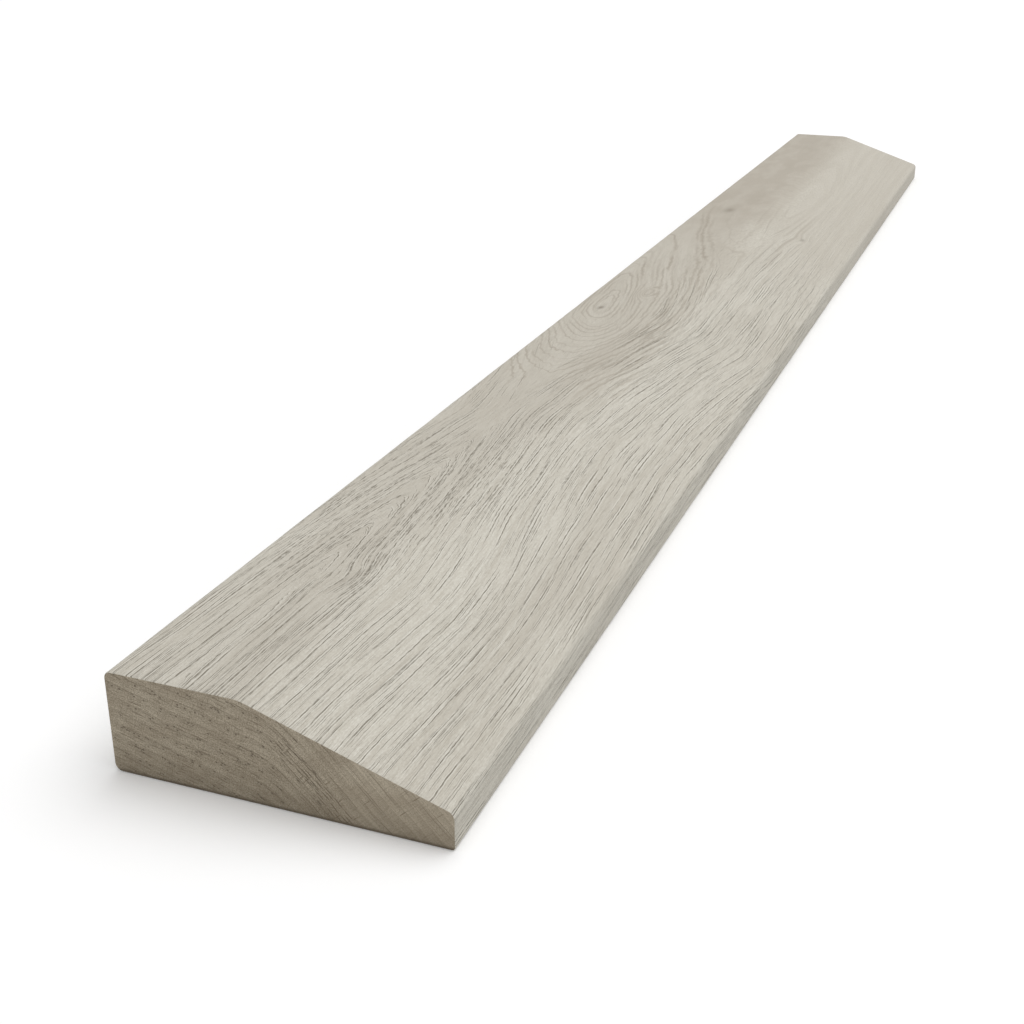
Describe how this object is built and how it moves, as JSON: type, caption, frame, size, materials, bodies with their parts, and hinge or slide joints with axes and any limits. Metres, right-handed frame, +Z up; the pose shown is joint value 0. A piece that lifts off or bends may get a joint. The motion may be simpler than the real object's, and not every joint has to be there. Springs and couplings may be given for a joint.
{
  "type": "floor reducer moulding",
  "caption": "Solid oak floor trim with a flat band along its tall edge and a ramp down to a thin eased nose, to step a thicker floor down to a thinner one.",
  "frame": {"origin": "middle of the underside", "axes": "+Y along the length, +X from the tall edge towards the thin nose, +Z up from the underside"},
  "size_m": [0.062, 0.6, 0.019],
  "materials": {
    "whitewashed_oak": "matt whitewashed oil over open oak grain, with bare sawn ends"
  },
  "bodies": {
    "root": {"reducer_moulding": "whitewashed_oak"}
  },
  "joints": []
}
